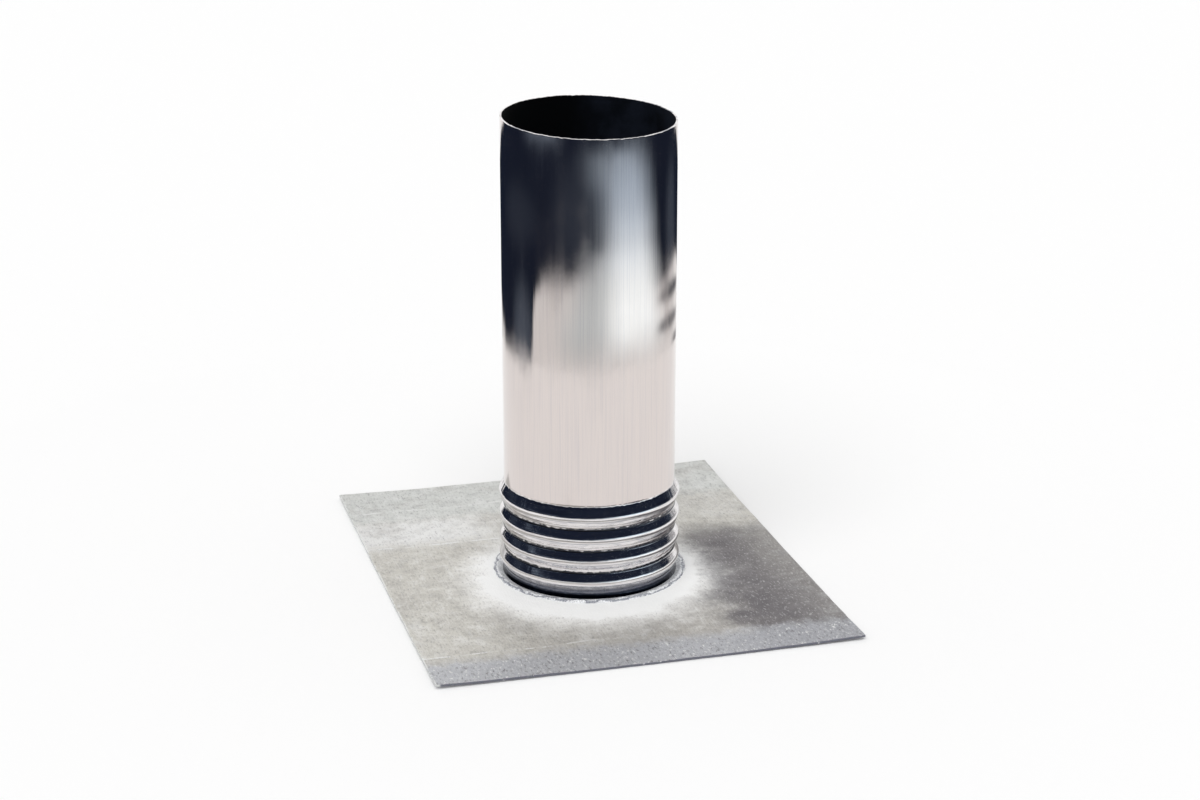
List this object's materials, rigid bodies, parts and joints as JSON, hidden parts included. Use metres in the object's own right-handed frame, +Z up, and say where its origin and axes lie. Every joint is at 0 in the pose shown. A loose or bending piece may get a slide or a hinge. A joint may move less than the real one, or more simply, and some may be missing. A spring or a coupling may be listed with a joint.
{
  "type": "pipe flashing boot",
  "caption": "Lead roof flashing for a vent pipe: a flat rectangular lead sheet with an upright open sleeve, round bellows ridges at its foot and a burned seam.",
  "frame": {"origin": "on the pipe's axis, at the underside of the base sheet", "axes": "+Z up the pipe, +X along the sheet's short edge, +Y along its long edge, up the roof"},
  "size_m": [0.2884, 0.3485, 0.3258],
  "materials": {
    "rolled_lead": "dull rolled lead sheet",
    "drawn_lead": "bright drawn lead with fine streaks along the pipe",
    "burned_lead": "bright lead, melted and rippled"
  },
  "bodies": {
    "root": {"base_sheet": "rolled_lead", "bellows_sleeve": "drawn_lead", "seam_bead": "burned_lead"}
  },
  "joints": []
}
